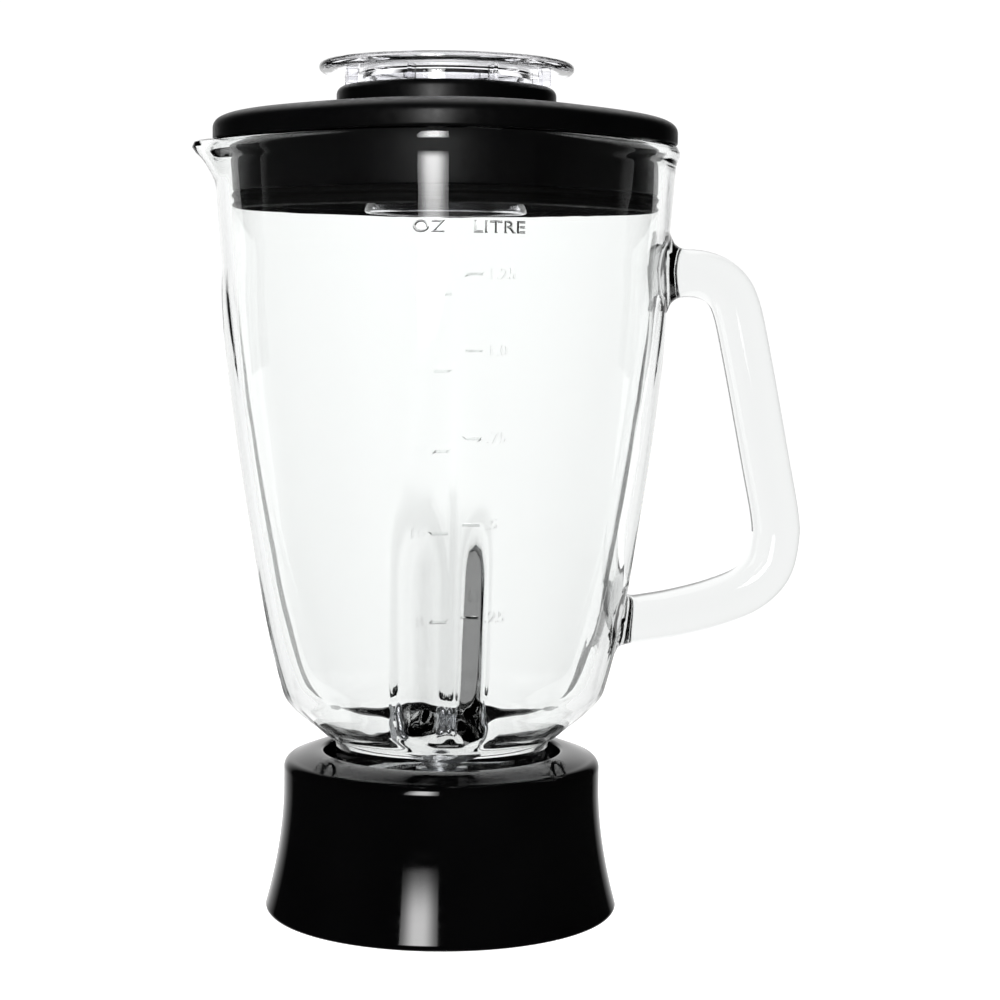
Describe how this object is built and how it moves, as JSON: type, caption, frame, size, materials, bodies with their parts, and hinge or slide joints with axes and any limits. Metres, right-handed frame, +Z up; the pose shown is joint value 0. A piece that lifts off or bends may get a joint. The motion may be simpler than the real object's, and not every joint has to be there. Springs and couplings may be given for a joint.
{
  "type": "countertop blender jug",
  "caption": "Glass blender jug with a spout and a moulded handle, on a flared screw-on collar that carries the blade unit, with a push-in lid and a clear measuring cap.",
  "frame": {"origin": "on the spindle's axis, in the plane that the base collar stands on", "axes": "+Z up along the spindle, -X towards the spout, +X towards the handle, -Y towards the corner with the scale"},
  "size_m": [0.1867, 0.1416, 0.2579],
  "materials": {
    "jug_glass": "clear pressed glass",
    "cap_clear": "clear moulded plastic",
    "lid_black": "satin black",
    "collar_black": "polished gloss black",
    "carrier_black": "moulded",
    "seal_rubber": "soft moulded",
    "gasket_rubber": "soft moulded",
    "blade_steel": "ground and brushed",
    "turned_steel": "turned",
    "bushing_bronze": "sintered",
    "coupling_rubber": "hard moulded"
  },
  "bodies": {
    "base": {"base_collar": "collar_black", "blade_carrier": "carrier_black", "bearing_housing": "turned_steel", "housing_washer": "seal_rubber", "housing_nut": "turned_steel", "upper_bushing": "bushing_bronze", "lower_bushing": "bushing_bronze", "shaft_seal": "seal_rubber"},
    "rotor": {"spindle": "turned_steel", "thrust_washer": "bushing_bronze", "retaining_ring": "turned_steel", "coupling_insert": "turned_steel", "drive_coupling": "coupling_rubber", "shoulder_washer": "turned_steel", "lower_blade": "blade_steel", "blade_spacer": "turned_steel", "upper_blade": "blade_steel", "blade_washer": "turned_steel", "blade_nut": "turned_steel"},
    "gasket": {"jug_gasket": "gasket_rubber"},
    "jug": {"glass_jug": "jug_glass"},
    "lid": {"lid_cover": "lid_black", "lid_seal": "seal_rubber"},
    "cap": {"measuring_cap": "cap_clear"}
  },
  "joints": [
    {"name": "rotor_spin", "type": "hinge", "parent": "base", "child": "rotor", "pos_m": [0, 0, 0.03], "axis": [0, 0, 1], "continuous": true},
    {"name": "jug_turn", "type": "hinge", "parent": "base", "child": "gasket", "pos_m": [0, 0, 0.03], "axis": [0, 0, 1], "range_deg": [0, 360]},
    {"name": "jug_lift", "type": "slide", "parent": "gasket", "child": "jug", "axis": [0, 0, 1], "range_m": [0, 0.01601]},
    {"name": "lid_lift", "type": "slide", "parent": "jug", "child": "lid", "axis": [0, 0, 1], "range_m": [0, 0.045]},
    {"name": "cap_lift", "type": "slide", "parent": "lid", "child": "cap", "axis": [0, 0, 1], "range_m": [0, 0.045]}
  ],
  "couplings": [
    {"joint": "jug_lift", "follows": "jug_turn", "m_per_rad": 0.0025465}
  ]
}
